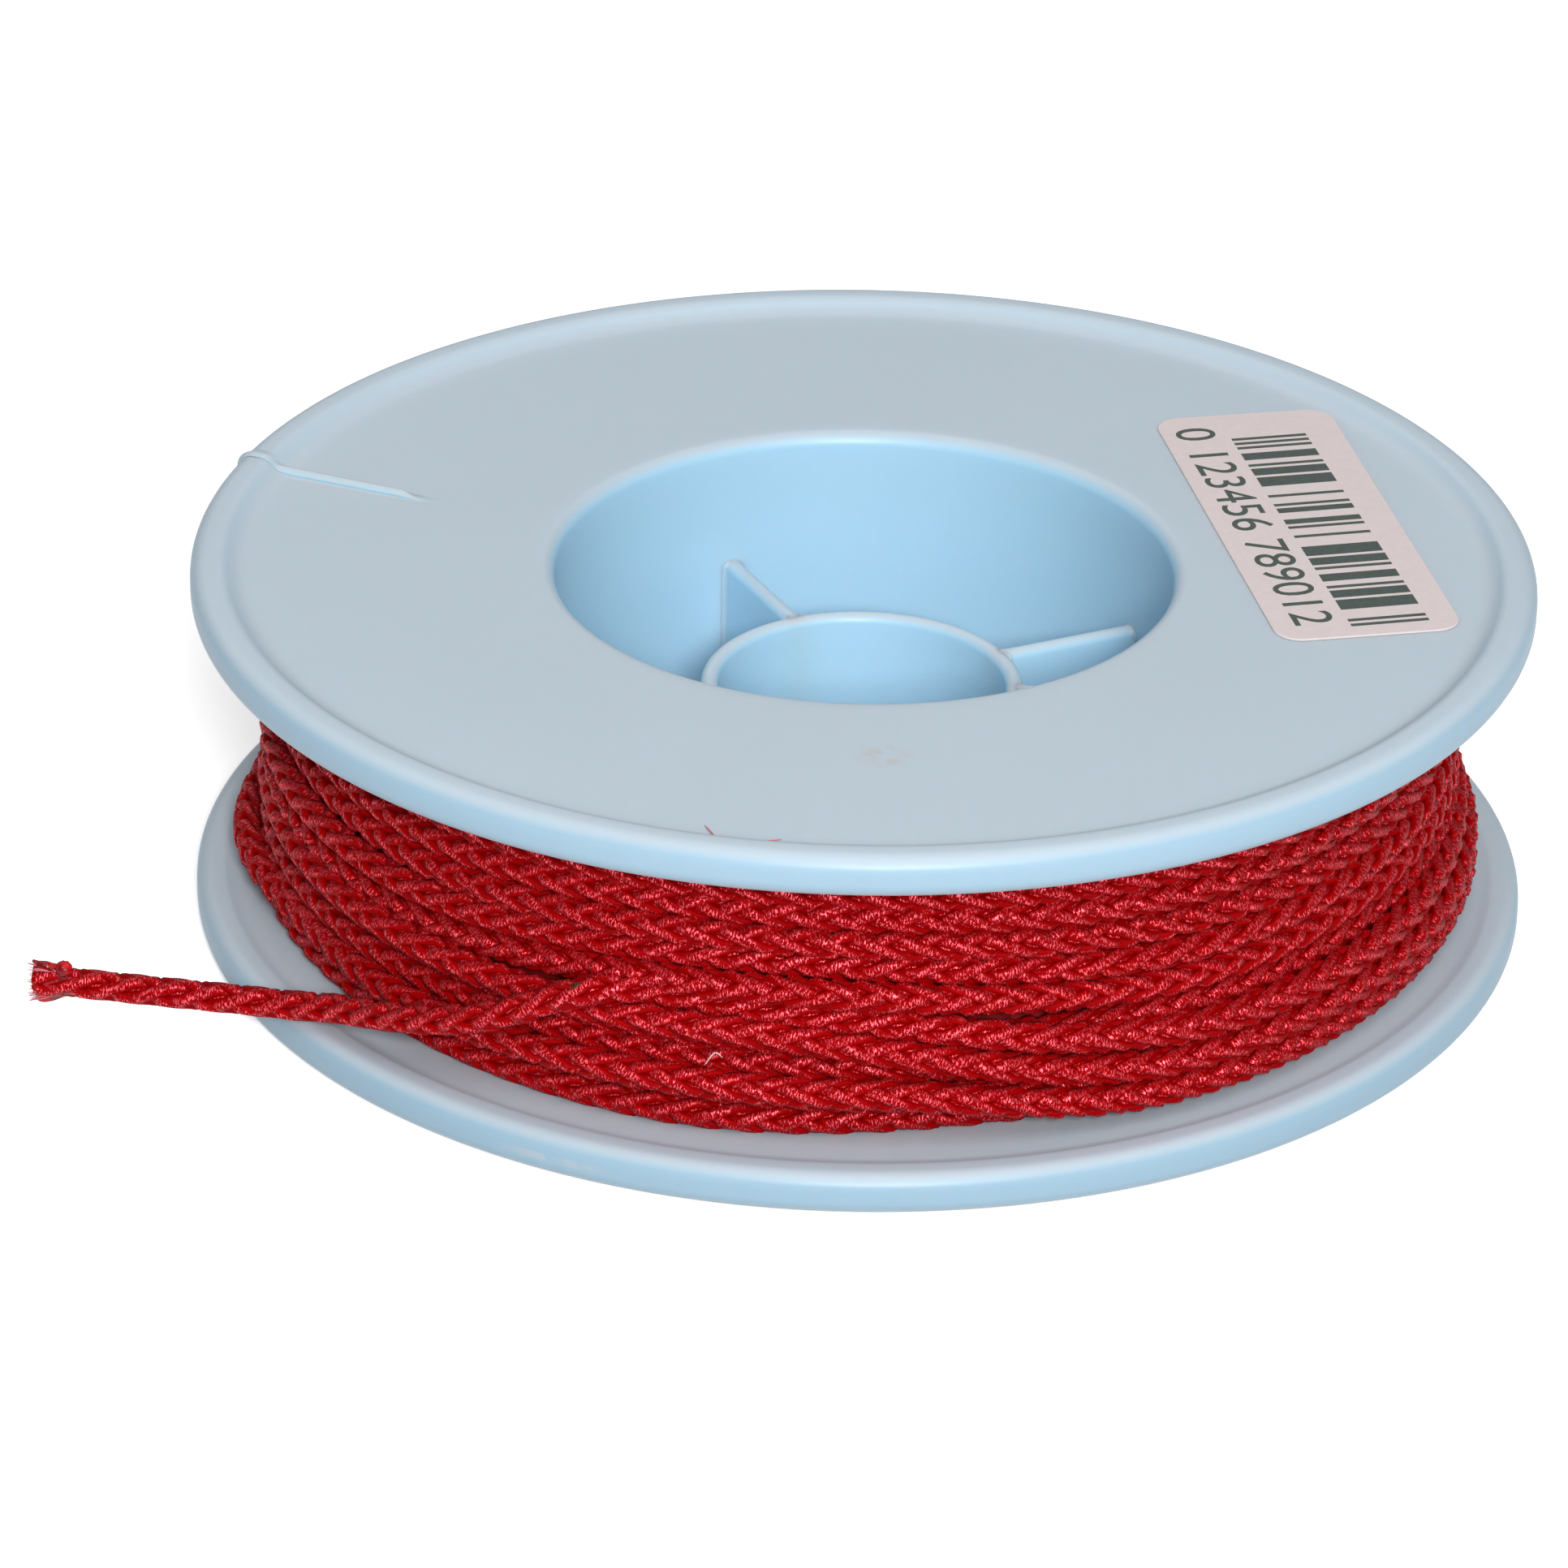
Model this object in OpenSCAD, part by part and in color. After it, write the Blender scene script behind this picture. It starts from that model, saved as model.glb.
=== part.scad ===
// Cord reel: a one-piece moulded spool, wound with braided cord, with a paper label on its upper flange.
// Millimetres. +Z runs up the reel's axis, and the origin is on the axis at the surface the reel lies on.

/* [Spool] */
// Outside diameter of both flanges
flange_d = 75; // [72:0.5:90]
// Overall height, from rim to rim
spool_h = 21.2; // [18:0.1:36]
// Thickness of each flange's plate
plate_t = 1.5; // [1:0.1:2.4]
// Inside diameter of the well at its mouth
well_d = 34.6; // [30:0.2:36]
// How much the well's radius shrinks from each mouth to mid-height
well_draft = 0.3; // [0:0.05:0.6]
// Wall of the drum that the cord is wound on
drum_wall = 1.3; // [1:0.1:3]
// Rounding of the well's mouth
mouth_round = 0.8; // [0.3:0.1:1]

/* [Rim bead] */
// Height of the bead along each flange's edge
rim_h = 2.4; // [2:0.1:4]
// Width of the bead, measured radially
rim_w = 2.35; // [2:0.05:4]
// How far the bead stands out from the plate's outer face
rim_proud = 0.75; // [0.3:0.05:1.2]
// Rounding of the bead's corners
rim_round = 0.9; // [0.3:0.05:0.95]

/* [Hub] */
// Bore of the hub, for a 16 mm spindle
bore_d = 16.2; // [12:0.1:20]
// Wall of the hub
hub_wall = 1; // [0.8:0.1:2]
// How far the upper edges of the hub and the ribs lie below the bead's top
hub_drop = 8; // [3:0.2:14]
// How far their lower edges lie above the lower bead's bottom
hub_rise = 2.2; // [1.8:0.2:5]
// Thickness of each rib
rib_t = 1; // [0.6:0.1:2]
// Direction of the first of the four main ribs, in degrees
rib_az = 26.5; // [0:0.5:89]
// Angle of the narrow pocket between the first main rib and the extra rib, in degrees
pocket_angle = 30; // [25:1:60]

/* [Cord catch] */
// Direction of the slit's inner end, in degrees
catch_az = 165; // [140:1:200]
// Turn of the slit away from the radius, in degrees
catch_slant = -7; // [-20:1:20]
// How far the slit runs in from the flange's edge
catch_reach = 11.2; // [6:0.2:13]
// Width of the slit
slit_w = 0.35; // [0.2:0.05:0.6]
// Width of the lip that rises along the slit
lip_w = 0.9; // [0.5:0.1:0.9]

/* [Label] */
// Length of the label, across the flange's radius
label_l = 30; // [20:0.5:34]
// Width of the label, along the flange's radius
label_w = 10.5; // [6:0.5:12]
// Thickness of the label's paper
label_t = 0.12; // [0.06:0.02:0.3]
// Corner radius of the label
label_corner = 1.5; // [0.5:0.1:2.5]
// Direction of the label's centre, in degrees
label_az = 14.5; // [-60:0.5:100]
// Turn of the label away from the radius, in degrees
label_turn = -2.5; // [-5:0.5:5]
// Space between the label's outer corners and the bead
label_margin = 0.8; // [0.5:0.1:1.5]

/* [Cord] */
// Diameter of the braided cord
cord_d = 1.65; // [1.2:0.05:2.2]
// How far the full outer layer lies inside the flange's edge
wind_inset = 3.7; // [3.5:0.1:10]
// Clear gap between neighbouring turns of the outer layer's form
turn_gap = 0.45; // [0.42:0.01:0.6]
// Clear gap between the cord's core and what it lies against
core_gap = 0.1; // [0.05:0.01:0.3]

/* [Hidden] */
$fn = 96;
over = 1;

// Spool
flange_r = flange_d / 2;
well_r = well_d / 2;
drum_r = well_r + drum_wall;
mid_z = spool_h / 2;
plate_top = spool_h - rim_proud;
plate_under = plate_top - plate_t;
mouth_z = plate_top - mouth_round;
rim_in_r = flange_r - rim_w;
bore_r = bore_d / 2;
hub_r = bore_r + hub_wall;
hub_h = spool_h - hub_drop - hub_rise;
hub_mid = hub_rise + hub_h / 2;
rib_from_r = bore_r + hub_wall / 2;
rib_to_r = well_r + drum_wall / 3;
main_ribs = 4;
rib_turns = [for (i = [0 : main_ribs - 1]) rib_az + i * 360 / main_ribs, rib_az - pocket_angle];

// Cord catch: the lip starts flush with the plate and ends flush with the bead's top
catch_end_r = flange_r - catch_reach;
lip_rise = atan(rim_proud / (catch_reach - rim_w));
lip_offset = slit_w / 2 + lip_w / 5;

// Label: its outer corners keep label_margin from the bead
label_mid_r = sqrt(pow(rim_in_r - label_margin, 2) - pow(label_l / 2, 2)) - label_w / 2;

// Outer layer of the winding: level turns that each step down one place behind the reel
space_h = spool_h - 2 * (rim_proud + plate_t);
turns = floor(space_h / cord_d);
pitch = (space_h - cord_d) / (turns - 1);
tube_d = pitch - turn_gap;
tube_sides = 6;
loop_rings = 24;
low_z = rim_proud + plate_t + cord_d / 2;
high_z = low_z + (turns - 1) * pitch;
wind_r = flange_r - wind_inset - cord_d / 2;
top_r = wind_r + pitch;
core_r = wind_r * cos(180 / loop_rings) - tube_d / 2 - core_gap;
start_az = 54;
step_part = 0.2;
lift_part = 0.45;

// Turns on top of the layer, after its last place is full, up to the free end
top_turns = 1 + 10 / loop_rings;
shift_from = 0.32;
shift_to = 0.4;

// The first end turns into a notch in the core
bend_r = 1.5;
bend_steps = 4;
notch_floor_r = wind_r - bend_r - tube_d;
notch_gap = 0.25;

// Free end: out of the winding, down across it, over the lower rim and clear of the reel
tail_route = [
    [-14.2, -31.9, 9.8],
    [-16.1, -31.5, 9.0],
    [-18.0, -31.1, 8.1],
    [-20.1, -30.2, 7.1],
    [-22.4, -28.7, 6.1],
    [-25.1, -26.4, 5.0],
    [-27.9, -23.6, 3.9],
    [-30.6, -22.0, 3.3],
    [-34.0, -21.0, 3.2],
    [-37.8, -20.2, 3.2],
    [-41.4, -19.5, 3.2],
    [-44.8, -19.1, 3.3]
];
tail_sides = 8;

// Smooth step from 0 to 1 as x goes from a to b
function ease(x, a, b) =
    let (t = min(1, max(0, (x - a) / (b - a))))
    t * t * (3 - 2 * t);

function unit(v) = v / norm(v);

// Place of the cord after u turns, counted in pitches up from the lowest turn
function place(u) =
    u < turns - 1 ? turns - 1 - floor(u) - ease(u - floor(u), 1 - step_part, 1) : 0;

// On top, the cord lies over the first groove, then the second, and last rises to its free end
function top_rise(u) =
    let (groove = 0.5 * ease(u, turns - step_part, turns) + ease(u, turns + shift_from, turns + shift_to))
    let (to_tail = (tail_route[0].z - low_z) / pitch - 1.5)
    groove + to_tail * ease(u, turns + 1 + shift_from, turns + 1 + shift_to);

// Point of the cord's centre line after u turns from the first end
function wind_point(u) =
    let (az = start_az - 360 * u)
    let (r = wind_r + (top_r - wind_r) * ease(u, turns - lift_part, turns - step_part))
    [r * cos(az), r * sin(az), low_z + pitch * (place(u) + top_rise(u))];

// Point beside the first turn's start: r out from the axis, back from the start against the winding
function start_point(r, back) =
    [r * cos(start_az) - back * sin(start_az), r * sin(start_az) + back * cos(start_az), high_z];

bend_route = [for (i = [0 : bend_steps - 1])
    let (a = 90 * i / bend_steps)
    start_point(wind_r - bend_r + bend_r * sin(a), bend_r * cos(a))];
turn_route = [for (i = [0 : round((turns + top_turns) * loop_rings)]) wind_point(i / loop_rings)];
tail_dir = unit(tail_route[1] - tail_route[0]);
wind_route = concat(
    [start_point(notch_floor_r, bend_r)],
    bend_route,
    turn_route,
    [tail_route[0] - tail_dir * tube_d, tail_route[0]]
);

// Least clear gap between the winding's tube and itself, over points half a loop or more apart
least_gap = min([for (i = [0 : len(wind_route) - 1])
    for (j = [i + loop_rings / 2 : 1 : len(wind_route) - 1])
    norm(wind_route[i] - wind_route[j])]) - tube_d;
echo(turns = turns, pitch = pitch, tube_d = tube_d, least_gap = least_gap);

// Closed tube of diameter d along a route that never runs straight up
module tube(route, d, sides) {
    last = len(route) - 1;
    rings = [for (i = [0 : last])
        let (along = unit(route[min(i + 1, last)] - route[max(i - 1, 0)]))
        let (side = unit(cross([0, 0, 1], along)))
        let (lift = cross(along, side))
        for (j = [0 : sides - 1])
        let (a = 360 * j / sides)
        route[i] + d / 2 * (cos(a) * lift + sin(a) * side)];
    walls = [for (i = [0 : last - 1])
        for (j = [0 : sides - 1])
        let (a = i * sides + j)
        let (b = i * sides + (j + 1) % sides)
        each [[a, b, a + sides], [b, b + sides, a + sides]]];
    caps = [for (j = [1 : sides - 2])
        each [[0, j + 1, j], [last * sides, last * sides + j, last * sides + j + 1]]];
    polyhedron(rings, concat(walls, caps), convexity = 10);
}

module rounded_rect(w, h, r) {
    square([w - 2 * r, h], center = true);
    square([w, h - 2 * r], center = true);
    for (x = [-1, 1])
        for (y = [-1, 1])
            translate([x * (w / 2 - r), y * (h / 2 - r)])
                circle(r = r);
}

// Upright strip with fully round ends
module round_strip(w, h) {
    square([w, h - w], center = true);
    for (y = [-1, 1])
        translate([0, y * (h - w) / 2])
            circle(d = w);
}

// Half section of one flange, at the height of the upper one
module flange_section() {
    translate([well_r + mouth_round, plate_under])
        square([flange_r - rim_w / 2 - well_r - mouth_round, plate_t]);
    translate([well_r + mouth_round, mouth_z])
        circle(r = mouth_round);
    translate([flange_r - rim_w / 2, spool_h - rim_h / 2])
        rounded_rect(rim_w, rim_h, rim_round);
}

module drum_section() {
    polygon([
        [well_r, mouth_z],
        [well_r - well_draft, mid_z],
        [well_r, spool_h - mouth_z],
        [drum_r, spool_h - mouth_z],
        [drum_r, mouth_z]
    ]);
}

module spool_section() {
    flange_section();
    translate([0, spool_h])
        mirror([0, 1])
            flange_section();
    drum_section();
    translate([bore_r + hub_wall / 2, hub_mid])
        round_strip(hub_wall, hub_h);
}

// Rib from the hub to the drum, rounded along its upper and lower edges
module rib() {
    length = rib_to_r - rib_from_r;
    translate([rib_from_r, -rib_t / 2, hub_mid - (hub_h - rib_t) / 2])
        cube([length, rib_t, hub_h - rib_t]);
    for (z = [-1, 1])
        translate([rib_from_r, 0, hub_mid + z * (hub_h - rib_t) / 2])
            rotate([0, 90, 0])
                cylinder(d = rib_t, h = length, $fn = 32);
}

// Moves what it holds to the slit's inner end, with +X along the slit towards the rim
module at_catch() {
    rotate(catch_az)
        translate([catch_end_r, 0, 0])
            rotate(catch_slant)
                children();
}

module catch_lip() {
    intersection() {
        at_catch()
            translate([0, -lip_offset, plate_top - lip_w / 2])
                rotate([0, -lip_rise, 0])
                    rotate([0, 90, 0])
                        cylinder(d = lip_w, h = catch_reach, $fn = 32);
        cylinder(r = flange_r - rim_round, h = spool_h);
    }
}

module catch_slit() {
    at_catch()
        translate([0, -slit_w / 2, spool_h - rim_h - over])
            cube([catch_reach + over, slit_w, rim_h + 2 * over]);
}

module spool() {
    color("lightblue")
        difference() {
            union() {
                rotate_extrude()
                    spool_section();
                for (turn = rib_turns)
                    rotate(turn)
                        rib();
                catch_lip();
            }
            catch_slit();
        }
}

module barcode_label() {
    color("mistyrose")
        rotate(label_az)
            translate([label_mid_r, 0, plate_top])
                rotate(label_turn)
                    linear_extrude(label_t)
                        rounded_rect(label_w, label_l, label_corner);
}

// All the layers under the outer one, as one plain solid
module cord_core() {
    color("firebrick")
        difference() {
            translate([0, 0, rim_proud + plate_t + core_gap])
                cylinder(r = core_r, h = space_h - 2 * core_gap);
            cylinder(r = drum_r + core_gap, h = spool_h);
            rotate(start_az)
                translate([notch_floor_r, -notch_gap, high_z - tube_d / 2 - notch_gap])
                    cube([bend_r + tube_d, bend_r + tube_d / 2 + 2 * notch_gap, tube_d + 2 * notch_gap]);
        }
}

module cord_winding() {
    color("red")
        tube(wind_route, tube_d, tube_sides);
}

module cord_tail() {
    color("crimson")
        tube(tail_route, cord_d, tail_sides);
}

spool();
barcode_label();
cord_core();
cord_winding();
cord_tail();
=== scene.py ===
"""Cord reel, dressed for rendering: the moulded spool, its paper label and the braided cord wound on it.

Sizes and places are in millimetres on the frame's axes. +Z runs up the reel's axis, and the origin is on
the axis at the surface that the reel lies on. add_piece turns them into metres.
"""
import math

import bpy
import numpy as np
from mathutils import Matrix, Vector


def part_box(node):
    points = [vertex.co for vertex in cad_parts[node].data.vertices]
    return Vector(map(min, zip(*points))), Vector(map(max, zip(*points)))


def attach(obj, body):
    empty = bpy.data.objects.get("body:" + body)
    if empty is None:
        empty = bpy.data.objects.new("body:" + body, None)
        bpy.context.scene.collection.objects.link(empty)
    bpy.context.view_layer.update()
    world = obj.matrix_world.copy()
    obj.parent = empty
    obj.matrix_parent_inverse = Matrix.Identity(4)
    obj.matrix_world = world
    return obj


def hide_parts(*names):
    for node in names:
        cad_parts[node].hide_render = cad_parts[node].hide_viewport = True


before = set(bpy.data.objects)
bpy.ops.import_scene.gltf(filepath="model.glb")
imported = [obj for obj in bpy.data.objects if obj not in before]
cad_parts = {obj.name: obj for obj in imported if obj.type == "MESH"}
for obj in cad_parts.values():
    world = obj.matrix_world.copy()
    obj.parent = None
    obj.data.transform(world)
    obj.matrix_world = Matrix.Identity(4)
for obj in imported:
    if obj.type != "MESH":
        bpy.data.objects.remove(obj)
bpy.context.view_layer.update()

MM = 0.001
SEED = 7

# ---------------------------------------------------------------- sizes

spool_low, spool_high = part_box("spool")
FLANGE_R = (spool_high.x - spool_low.x) / 2 / MM
SPOOL_H = spool_high.z / MM
MID_Z = SPOOL_H / 2

PLATE_T = 1.5
RIM_H, RIM_W = 2.4, 2.35
RIM_PROUD, RIM_ROUND = 0.75, 0.9
WELL_R, WELL_DRAFT, DRUM_WALL = 17.3, 0.3, 1.3
MOUTH_ROUND = 0.8
HUB_BORE_R, HUB_WALL = 8.1, 1.0
HUB_DROP, HUB_RISE = 8.0, 2.2
HUB_H = SPOOL_H - HUB_DROP - HUB_RISE
HUB_MID = HUB_RISE + HUB_H / 2
RIB_T, RIB_AZ, POCKET_ANGLE = 1.0, 26.5, 30.0
PLATE_TOP = SPOOL_H - RIM_PROUD
PLATE_UNDER = PLATE_TOP - PLATE_T

CORD_D = 1.65
WIND_INSET = 3.7
SPACE_H = SPOOL_H - 2 * (RIM_PROUD + PLATE_T)
TURNS = int(SPACE_H // CORD_D)
PITCH = (SPACE_H - CORD_D) / (TURNS - 1)
LOW_Z = RIM_PROUD + PLATE_T + CORD_D / 2
WIND_R = FLANGE_R - WIND_INSET - CORD_D / 2
FIRST_R = WELL_R + DRUM_WALL + CORD_D / 2
INNER_LAYERS = 8
LAYER_STEP = (WIND_R - FIRST_R) / INNER_LAYERS


# ---------------------------------------------------------------- shapes


def ease(x, a, b):
    """Smooth step: 0 up to a, 1 from b, and 3t^2 - 2t^3 between them, where t runs from 0 to 1."""
    t = np.clip((x - a) / (b - a), 0, 1)
    return t * t * (3 - 2 * t)


def hill(x, centre, half_width):
    """1 at centre, falling to 0 at half_width on either side, as a squared cosine."""
    return np.cos(np.clip((x - centre) / half_width, -1, 1) * np.pi / 2) ** 2


def polar(az, r, z):
    """Points at azimuths az in degrees, radii r and heights z."""
    az = np.radians(az)
    r, z = np.broadcast_to(r, az.shape), np.broadcast_to(z, az.shape)
    return np.stack([r * np.cos(az), r * np.sin(az), z], -1)


def unit(v):
    """Vectors made one long."""
    return v / np.linalg.norm(v, axis=-1, keepdims=True)


def turned(x, y, degrees):
    """X and Y turned about the origin."""
    a = math.radians(degrees)
    return x * math.cos(a) - y * math.sin(a), x * math.sin(a) + y * math.cos(a)


def arc(centre, radius, start, end, count):
    """Points on a circle in a half section, from one angle to another in degrees."""
    a = np.radians(np.linspace(start, end, count))
    return np.stack([centre[0] + radius * np.cos(a), centre[1] + radius * np.sin(a)], -1)


def line(start, end, count):
    """Points on a straight stretch of a half section, without its two ends."""
    t = np.linspace(0, 1, count + 2)[1:-1, None]
    return np.array(start) * (1 - t) + np.array(end) * t


def closed_grid(points):
    """Points and quads of a grid whose rows and columns both close on themselves.

    It has no triangles and no UVs.
    """
    rows, cols = points.shape[:2]
    i, j = np.meshgrid(np.arange(rows), np.arange(cols), indexing="ij")
    a, b = i * cols + j, i * cols + (j + 1) % cols
    below = ((i + 1) % rows) * cols
    quads = np.stack([a, b, below + (j + 1) % cols, below + j], -1).reshape(-1, 4)
    return points.reshape(-1, 3), quads, np.zeros((0, 3), int), None


def tube(rings, along=None):
    """Closed tube through rings of points, each end closed by triangles to a pole at its ring's middle.

    Its UVs are the distance along it, from `along`, and the share of the way round. Without `along` it has
    none.
    """
    count, sides = rings.shape[:2]
    i, j = np.meshgrid(np.arange(count - 1), np.arange(sides), indexing="ij")
    a, b = i * sides + j, i * sides + (j + 1) % sides
    quads = np.stack([a, b, b + sides, a + sides], -1).reshape(-1, 4)
    points = np.concatenate([rings.reshape(-1, 3), rings[0].mean(0)[None], rings[-1].mean(0)[None]])
    k = np.arange(sides)
    last = (count - 1) * sides
    first_cap = np.stack([(k + 1) % sides, k, np.full(sides, count * sides)], -1)
    last_cap = np.stack([last + k, last + (k + 1) % sides, np.full(sides, count * sides + 1)], -1)
    uvs = None
    if along is not None:
        u = np.stack([along[i], along[i], along[i + 1], along[i + 1]], -1)
        v = np.stack([j, j + 1, j + 1, j], -1) / sides
        uvs = np.stack([u, v], -1).reshape(-1, 2)
    return points, quads, np.concatenate([first_cap, last_cap]), uvs


def place_mesh(name, mesh, material):
    """An object of a mesh and a material, riding on the reel's only body."""
    mesh.materials.clear()
    mesh.materials.append(material)
    piece = bpy.data.objects.new(name, mesh)
    bpy.context.scene.collection.objects.link(piece)
    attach(piece, "root")
    return piece


def add_piece(name, shells, material, smooth=True):
    """One object made of closed shells, with its place in its mesh."""
    starts = np.cumsum([0] + [len(s[0]) for s in shells])
    points = np.concatenate([s[0] for s in shells])
    quads = np.concatenate([s[1] + o for s, o in zip(shells, starts)]).astype(np.int32)
    tris = np.concatenate([s[2] + o for s, o in zip(shells, starts)]).astype(np.int32)
    mesh = bpy.data.meshes.new(name)
    mesh.vertices.add(len(points))
    mesh.vertices.foreach_set("co", (points * MM).astype(np.float32).ravel())
    mesh.loops.add(quads.size + tris.size)
    mesh.loops.foreach_set("vertex_index", np.concatenate([quads.ravel(), tris.ravel()]))
    mesh.polygons.add(len(quads) + len(tris))
    loop_starts = np.concatenate([np.arange(len(quads)) * 4, quads.size + np.arange(len(tris)) * 3])
    mesh.polygons.foreach_set("loop_start", loop_starts.astype(np.int32))
    mesh.polygons.foreach_set("use_smooth", np.full(len(quads) + len(tris), smooth))
    if all(s[3] is not None for s in shells):
        uvs = np.concatenate([s[3] for s in shells] + [np.zeros((tris.size, 2))])
        mesh.uv_layers.new(name="thread").data.foreach_set("uv", uvs.astype(np.float32).ravel())
    mesh.update(calc_edges=True)
    mesh.validate()
    return place_mesh(name, mesh, material)


# ---------------------------------------------------------------- camera

# Angles in degrees, and the picture's shift in shares of its width
VIEW_DISTANCE = 421.9
VIEW_ELEVATION = 26.41
VIEW_ROLL = 1.19
VIEW_TARGET = np.array([0, 0, 10.8])
VIEW_LENS = 171.8
VIEW_SENSOR = 36.0
VIEW_SHIFT = (-0.0492, -0.043)

# Clipping distances in metres
NEAREST, FARTHEST = 0.01, 20


def add_camera():
    """Camera that looks along +Y and down, turned a little about its own line of sight."""
    e, roll = math.radians(VIEW_ELEVATION), math.radians(VIEW_ROLL)
    back = np.array([0, -math.cos(e), math.sin(e)])
    right, up = np.array([1.0, 0, 0]), np.array([0, math.sin(e), math.cos(e)])
    turned_right = right * math.cos(roll) + up * math.sin(roll)
    turned_up = up * math.cos(roll) - right * math.sin(roll)
    data = bpy.data.cameras.new("camera")
    data.lens, data.sensor_width = VIEW_LENS, VIEW_SENSOR
    data.shift_x, data.shift_y = VIEW_SHIFT
    data.clip_start, data.clip_end = NEAREST, FARTHEST
    camera = bpy.data.objects.new("camera", data)
    turn = Matrix(np.stack([turned_right, turned_up, back], -1).tolist())
    place = Matrix.Translation(Vector(((VIEW_TARGET + back * VIEW_DISTANCE) * MM).tolist()))
    camera.matrix_world = place @ turn.to_4x4()
    bpy.context.scene.collection.objects.link(camera)
    bpy.context.scene.camera = camera


add_camera()


# ---------------------------------------------------------------- materials

# Colours as they look on a screen, from 0 to 255
# The faces' greyer blue is painted sheen: it stands in for the whitish reflection of light from above
WALL_BLUE, FACE_SHEEN_GREY = (164, 201, 222), (178, 192, 202)
# The lower rim's darker blue is painted shade
RIM_BLUE, LOW_RIM_SHADE_BLUE = (153, 182, 200), (147, 177, 195)
TONE_SPAN = 5
STAIN_BROWN, SCUFF_BEIGE = (178, 152, 118), (198, 192, 190)
YARN_DARK, YARN_RED, YARN_GLINT, YARN_SHINE = (72, 0, 1), (182, 1, 3), (255, 104, 116), (255, 108, 124)
MELTED_DARK, MELTED_RED, MELTED_SHINE = (110, 0, 6), (196, 14, 18), (255, 190, 196)
# The heart's reds are darker than the strands' as painted shade for the crevices where it shows
HEART_DARK, HEART_RED = (95, 2, 6), (140, 6, 12)
PAPER_DARK, PAPER_PINK = (207, 194, 192), (217, 205, 203)
INK_DARK, INK_LIGHT = (52, 64, 60), (74, 86, 82)

# Wear on the plastic: its middle and its radius. Above and below its middle the scuff is full up to one
# distance and gone at another.
STAIN_AT, STAIN_R = (1.3, -24.0, PLATE_TOP), 2.0
SCUFF_AT, SCUFF_R = (-15.9, -33.9, 1.15), 4.2
SCUFF_FULL, SCUFF_END = 0.1, 0.3

# Heights between which the outer edge changes from the lower rim's darker colour, painted shade, to the upper
# rim's
RIM_SHADE_FROM, RIM_SHADE_TO = 2, 14

# Share of the way round a strand: its crest, and where its flecks end and begin on either side
CREST, FLECKS_END, FLECKS_FULL = 0.5, 0.13, 0.05


def rgb(red, green, blue):
    """A colour given as it looks on a screen, from 0 to 255, as the shader's linear colour."""
    c = np.array([red, green, blue]) / 255
    return tuple(np.where(c <= 0.04045, c / 12.92, ((c + 0.055) / 1.055) ** 2.4)) + (1.0,)


def wire(tree, kind, inputs=None, **settings):
    """Adds a node, sets its own settings, and joins or sets the inputs named."""
    node = tree.nodes.new(kind)
    for key, value in settings.items():
        setattr(node, key, value)
    for key, value in (inputs or {}).items():
        if isinstance(value, bpy.types.NodeSocket):
            tree.links.new(value, node.inputs[key])
        else:
            node.inputs[key].default_value = value
    return node


def new_material(name, **constants):
    """A Principled material with constants on the shader's own sockets. Gives it, its tree and its shader."""
    material = bpy.data.materials.new(name)
    material.use_nodes = True
    tree = material.node_tree
    shader = next(n for n in tree.nodes if n.type == "BSDF_PRINCIPLED")
    for key, value in constants.items():
        shader.inputs[key.replace("_", " ")].default_value = value
    return material, tree, shader


def grain_group():
    """Node group of uneven grain.

    Broad noise gives a tone, noise of a millimetre's size gives blots, and fine noise gives a height.
    """
    tree = bpy.data.node_groups.new("grain", "ShaderNodeTree")
    tree.interface.new_socket("Vector", in_out="INPUT", socket_type="NodeSocketVector")
    tree.interface.new_socket("Scale", in_out="INPUT", socket_type="NodeSocketFloat")
    for label in ("Tone", "Blot", "Height"):
        tree.interface.new_socket(label, in_out="OUTPUT", socket_type="NodeSocketFloat")
    ins, outs = tree.nodes.new("NodeGroupInput").outputs, tree.nodes.new("NodeGroupOutput").inputs
    for label, scale, detail in (("Tone", 60.0, 3.0), ("Blot", 1100.0, 3.0), ("Height", ins["Scale"], 2.0)):
        noise = wire(tree, "ShaderNodeTexNoise", {"Vector": ins["Vector"], "Scale": scale, "Detail": detail})
        tree.links.new(noise.outputs["Fac"], outs[label])
    return tree


GRAIN = grain_group()


def grain_on(tree, where, scale):
    """Outputs of the grain group laid on a coordinate."""
    return wire(tree, "ShaderNodeGroup", {"Vector": where, "Scale": scale}, node_tree=GRAIN).outputs


def maths(tree, operation, *values):
    """One Math node on sockets or numbers. Gives its output."""
    return wire(tree, "ShaderNodeMath", dict(enumerate(values)), operation=operation).outputs[0]


def ramp(tree, value, start, end):
    """Smooth step of a socket from 0 at start to 1 at end. Either of them may be the larger."""
    inputs = {"Value": value, "From Min": min(start, end), "From Max": max(start, end)}
    inputs |= {"To Min": 0.0, "To Max": 1.0} if start < end else {"To Min": 1.0, "To Max": 0.0}
    return wire(tree, "ShaderNodeMapRange", inputs, interpolation_type="SMOOTHSTEP").outputs["Result"]


def mix(tree, factor, first, second):
    """Colour mix of two colours or colour sockets."""
    inputs = {"Factor": factor, "A": first, "B": second}
    return wire(tree, "ShaderNodeMix", inputs, data_type="RGBA").outputs["Result"]


def spot(tree, where, centre, radius):
    """Mask that falls from 1 at a place, given in millimetres, to 0 at a radius."""
    centre = tuple(c * MM for c in centre)
    away = wire(tree, "ShaderNodeVectorMath", {0: where, 1: centre}, operation="DISTANCE")
    return ramp(tree, away.outputs["Value"], radius * MM, 0.0)


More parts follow.
